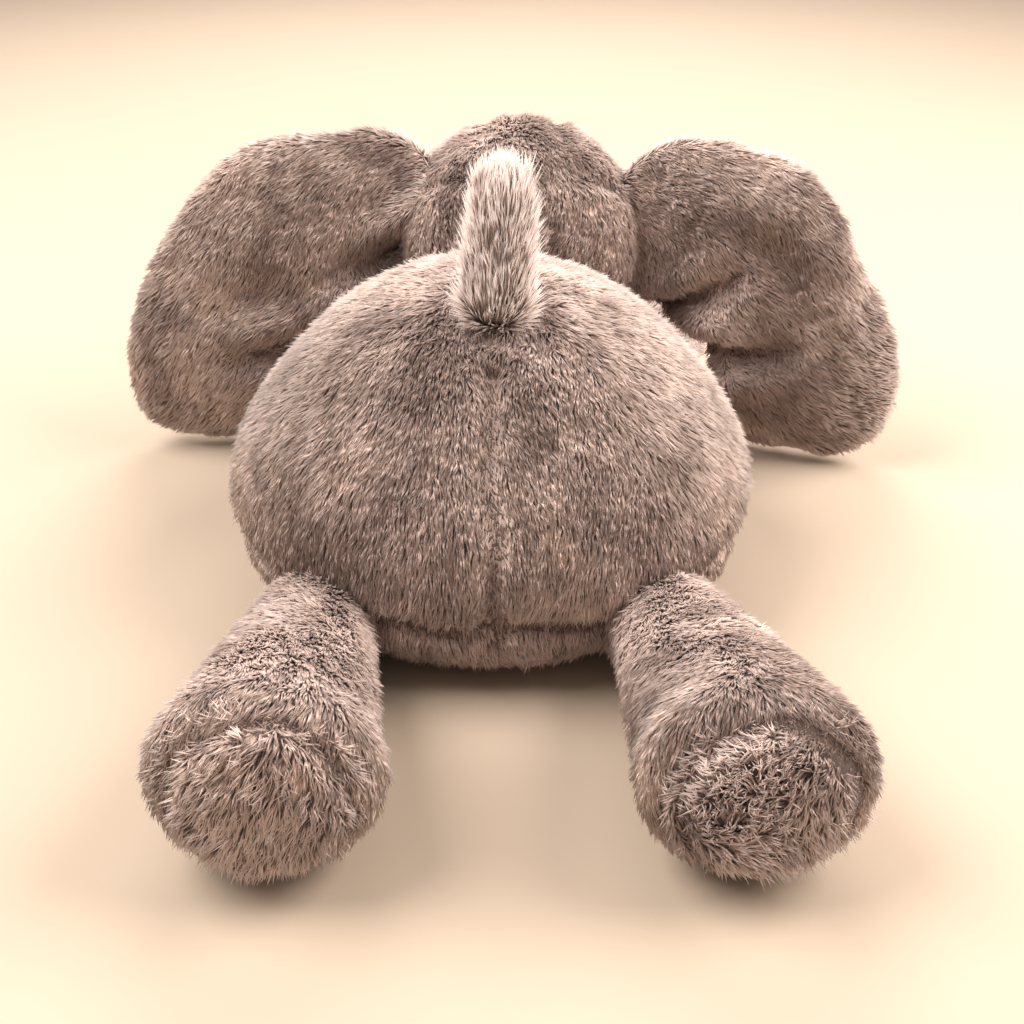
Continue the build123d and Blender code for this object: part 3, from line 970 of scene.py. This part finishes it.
for skin in [torso, head, trunk_base, trunk_tip, tail, *leg_skins.values(), *sole_skins.values(),
             *ear_skins.values()]:
    subdivide(skin)
ear_fillings = {}
for ear in ears:
    skin = ear_skins[ear.word]
    ear_shape(ear, skin)
    filling = drawn_in(skin, f"ear_{ear.word}_stuffing", EAR_STUFFING_GAP)
    fold(ear, skin, ear_pleats(ear))
    fold(ear, filling, ear_pleats(ear), EAR_STUFFING_FOLD, EAR_STUFFING_FOLD)
    ear_fillings[ear.word] = filling
for skin in [torso, trunk_tip, *leg_skins.values(), *sole_skins.values(), *ear_skins.values()]:
    settle(skin)


# ---- seams ----
def torso_arc(angle):
    """The line down the middle of the back; 0 is straight behind, a quarter turn is the top."""
    return Vector((1.5 * MM * math.sin(3 * angle), TORSO_CENTRE.y + TORSO_WIDE * math.cos(angle),
                   TORSO_CENTRE.z + TORSO_TALL * math.sin(angle)))


def belly_ring(angle):
    """The seam round the belly panel, a little wavy."""
    height = BELLY_SEAM + 1.5 * MM * math.sin(5 * angle)
    radius = TORSO_WIDE * math.sqrt(1 - ((height - TORSO_CENTRE.z) / TORSO_TALL) ** 2)
    x = TORSO_CENTRE.x + radius * math.cos(angle)
    y = TORSO_CENTRE.y + radius * math.sin(angle)
    return Vector((x, y, height))


def ring_round(centre, axis, radius):
    """A rule for a ring round an axis."""
    across = axis.orthogonal().normalized()
    other = axis.cross(across).normalized()
    return lambda angle: centre + (across * math.cos(angle) + other * math.sin(angle)) * radius


rump_line = laid_on(torso, wobble(curve_points(torso_arc, -0.3, 0.95, 120), 5 * MM, 45, 1))
rump_seam = Seam(rump_line, 2.5 * MM, 3.2 * MM, 0.8)
neck_seam = Seam(laid_on(torso, curve_points(torso_arc, 1.25, 2.2)), 1.2 * MM, 4 * MM, 0.5)
belly_line = laid_on(torso, wobble(curve_points(belly_ring, 0, math.tau, 260), 4 * MM, 40, 2))
belly_seam = Seam(belly_line, 4.5 * MM, 3.8 * MM, 1.0)
tail_up = (TAIL_END - TAIL_ROOT).normalized()
tail_seam = Seam(curve_points(ring_round(TAIL_ROOT - tail_up * 3 * MM, tail_up, 12 * MM), 0, math.tau, 60),
                 3.0 * MM, 4 * MM, 0.8)
torso_seams = [rump_seam, neck_seam, belly_seam, tail_seam]
sew(torso, torso_seams)


def gusset_arc(offset):
    """The seam beside the crown's strip, from the nape over to the brow."""
    radius = math.sqrt((HEAD_RADIUS - NAP) ** 2 - offset**2)
    return lambda angle: HEAD + Vector((offset, radius * math.cos(angle), radius * math.sin(angle)))


head_seams = [Seam(curve_points(gusset_arc(side * 12 * MM), 0.1, 2.6), 1.0 * MM, 3.0 * MM, 0.35)
              for side in SIDES.values()]
for side in SIDES.values():
    dart_start = HEAD + Vector((side * 20, 22, 28)) * MM
    dart_end = HEAD + Vector((side * 33, 14, 24)) * MM
    dart = [dart_start.lerp(dart_end, step / 20) for step in range(21)]
    head_seams.append(Seam(dart, 1.6 * MM, 3 * MM, 0.6))
sew(head, head_seams)

# ---- cloth, filling and pile ----
sewn_skin(torso, "torso", 0.75, "back_panel_left", "back_panel_right", "belly_panel")
stuffing_in(torso, "body_stuffing", "torso", "body_fill")
sewn_skin(head, "head", 0.8, "head_panel_left", "head_panel_right", "head_gusset")
stuffing_in(head, "head_stuffing", "head", "head_fill")
sewn_skin(trunk_base, "trunk_base", 0.8, "trunk_base_cover")
stuffing_in(trunk_base, "trunk_base_stuffing", "trunk_base", "trunk_base_fill")
sewn_skin(trunk_tip, "trunk_tip", 0.8, "trunk_tip_cover")
stuffing_in(trunk_tip, "trunk_tip_stuffing", "trunk_tip", "trunk_tip_fill")
sewn_skin(tail, "tail", 0.6, "tail_cover")
stuffing_in(tail, "tail_stuffing", "tail", "tail_fill")


def torso_flow(points):
    """Down and out from the middle of the back."""
    out = points - np.array(TORSO_CENTRE)
    out[:, 2] = 0
    out /= np.maximum(np.linalg.norm(out, axis=1, keepdims=True), 1e-6)
    return out * 0.6 + np.array((0, 0.35, -1))


def crushed(points):
    """The pile's length, shorter where the toy lies on it."""
    return np.clip(0.35 + (points[:, 2] - FLOOR_REST) / (10 * MM), 0.35, 1)


for word, side in SIDES.items():
    for end, facing_back in (("rear", 1), ("front", -1)):
        def on_panel(points, side=side, facing_back=facing_back):
            return ((points[:, 2] > BELLY_SEAM) & (points[:, 0] * side > 0)
                    & ((points[:, 1] - TORSO_CENTRE.y - 10 * MM) * facing_back > 0))

        grow_pile(f"pile_back_{word}_{end}", torso, "torso", torso_flow, on_panel, seams=torso_seams)
grow_pile("pile_belly", torso, "torso", torso_flow,
          lambda points: (points[:, 2] <= BELLY_SEAM) & (points[:, 2] > REST_EDGE),
          seams=torso_seams, shape_length=crushed)
grow_pile("pile_belly_rest", torso, "torso", (0, 1, 0), lambda points: points[:, 2] <= REST_EDGE,
          length=3 * MM, density=0.35, lift=0.1, ruffle=0.1, clump=0.3)
grow_pile("pile_head", head, "head", (0, 0.7, -0.6), length=5.2 * MM, seams=head_seams)
grow_pile("pile_trunk_base", trunk_base, "trunk_base", TRUNK_BEND - TRUNK_ROOT, length=6 * MM)
grow_pile("pile_trunk_tip", trunk_tip, "trunk_tip", TRUNK_END - TRUNK_BEND, length=5.5 * MM,
          shape_length=crushed)
grow_pile("pile_tail", tail, "tail", tail_up, length=10.5 * MM, lift=0.24, material=TAIL_PILE, ruffle=0.1,
          clump=0.9, swirl=0.2)

for leg in legs:
    skin, sole = leg_skins[leg.name], sole_skins[leg.name]
    sewn_skin(skin, leg.name, 0.7, f"{leg.name}_cover")
    sewn_skin(sole, leg.name, 0.7, f"{leg.name}_sole")
    stuffing_in(skin, f"{leg.name}_stuffing", leg.name, f"{leg.name}_fill")
    flow = leg.along * 0.8 + Vector((0, 0, -0.5))
    sole_edge = ring_round(leg.sole + leg.along * 2 * MM, leg.along, leg.sole_radius * 0.93)
    sole_ring = curve_points(sole_edge, 0, math.tau, 120)
    sole_seam = Seam(laid_on(sole, wobble(sole_ring, 4 * MM, 45, leg.hip.x * 100)), 3 * MM, 2.8 * MM, 1.0)
    sew(sole, [sole_seam])

    def on_barrel(points, leg=leg):
        return (points - np.array(leg.sole)) @ np.array(leg.along) < 3 * MM

    def on_sole(points, leg=leg):
        return (points - np.array(leg.sole)) @ np.array(leg.along) > -2 * MM

    grow_pile(f"pile_{leg.name}", skin, leg.name, flow, on_barrel, length=4.8 * MM, lift=0.34,
              clump=0.9, shape_length=crushed, seams=[sole_seam])
    grow_pile(f"pile_{leg.name}_sole", sole, leg.name, (0.2, 0, -1), on_sole, length=5.6 * MM,
              lift=0.85, ruffle=0.17, clump=2.2, swirl=2.2, shape_length=crushed, seams=[sole_seam])

for ear in ears:
    skin = ear_skins[ear.word]
    body = f"ear_{ear.word}"
    sewn_skin(skin, body, 0.5, f"ear_back_{ear.word}", f"ear_front_{ear.word}")
    fill_with(ear_fillings[ear.word], body, f"ear_pad_{ear.word}")
    flow = ear.across * 0.8 + Vector((0, 0, -0.7))
    # the pleats' seams press no groove: they part the pile and paint shade along the folds
    pleat_seams = [Seam(points, 0, 7 * MM, 0.5) for points, depth, _ in ear_pleats(ear) if depth > 5]

    facing = normals(skin) @ np.array(ear.back)
    facing_tree = KDTree(len(facing))
    for index, point in enumerate(coords(skin)):
        facing_tree.insert(point, index)
    facing_tree.balance()

    def is_back(points, tree=facing_tree, facing=facing):
        return np.array([facing[tree.find(point)[1]] > 0 for point in points])

    def is_front(points, tree=facing_tree, facing=facing):
        return np.array([facing[tree.find(point)[1]] <= 0 for point in points])

    grow_pile(f"pile_ear_back_{ear.word}", skin, body, flow, is_back, length=5.2 * MM, shape_length=crushed,
              seams=pleat_seams)
    grow_pile(f"pile_ear_front_{ear.word}", skin, body, flow, is_front, length=5 * MM, shape_length=crushed,
              density=0.8)

# ---- eyes ----
EYE_RADIUS = 5.6 * MM
STEM_RADIUS = 1.5 * MM
for word in SIDES:
    outward = (middle_of(f"eye_{word}") - HEAD).normalized()
    centre = HEAD + outward * (HEAD_RADIUS - 1.5 * MM)
    dome = ball(f"eye_{word}_dome", centre, (EYE_RADIUS,) * 3, 32, 20)
    stem = turned("stem", HEAD + outward * (HEAD_RADIUS - 9 * MM), centre, STEM_RADIUS, STEM_RADIUS)
    eye = joined(f"eye_{word}_button", [dome, stem])
    only(eye)
    bpy.ops.object.shade_smooth()
    dress(eye, EYE)
    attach(eye, "head")
    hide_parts(f"eye_{word}")
    dress(frame["nodes"][f"eye_washer_{word}"], WASHER)
dress(frame["nodes"]["bean_pouch"], POUCH_CLOTH)
dress(frame["nodes"]["beans"], BEANS)
bpy.data.objects.remove(STRAND)

# ---- floor and light ----
bpy.ops.mesh.primitive_plane_add(size=6, location=(0, 0, 0))
floor = fresh("floor")
floor_material, nodes, links, shader = new_material("pale floor")
shader.inputs["Base Color"].default_value = (0.43, 0.335, 0.255, 1)
shader.inputs["Roughness"].default_value = 0.9
shader.inputs["Specular IOR Level"].default_value = 0.1
dress(floor, floor_material)


def soft_light(name, place, target, size, power, colour):
    data = bpy.data.lights.new(name, "AREA")
    data.shape = "DISK"
    data.size = size
    data.energy = power
    data.color = colour
    light = bpy.data.objects.new(name, data)
    light.location = place
    light.rotation_euler = (Vector(target) - Vector(place)).to_track_quat("-Z", "Y").to_euler()
    bpy.context.scene.collection.objects.link(light)


soft_light("key", (0.62, 0.05, 0.85), (0, 0, 0.05), 0.8, 18.5, (1, 0.98, 0.96))
soft_light("side", (-0.75, 0.0, 0.65), (0, 0, 0.05), 0.8, 19, (1, 0.96, 0.93))
soft_light("front", (0.0, -0.85, 0.75), (0, 0, 0.08), 0.8, 12, (1, 0.97, 0.95))
world = bpy.data.worlds.new("studio")
world.use_nodes = True
world.node_tree.nodes["Background"].inputs["Color"].default_value = (1.0, 0.95, 0.9, 1)
world.node_tree.nodes["Background"].inputs["Strength"].default_value = 0.48
bpy.context.scene.world = world
bpy.context.scene.view_settings.view_transform = "Standard"
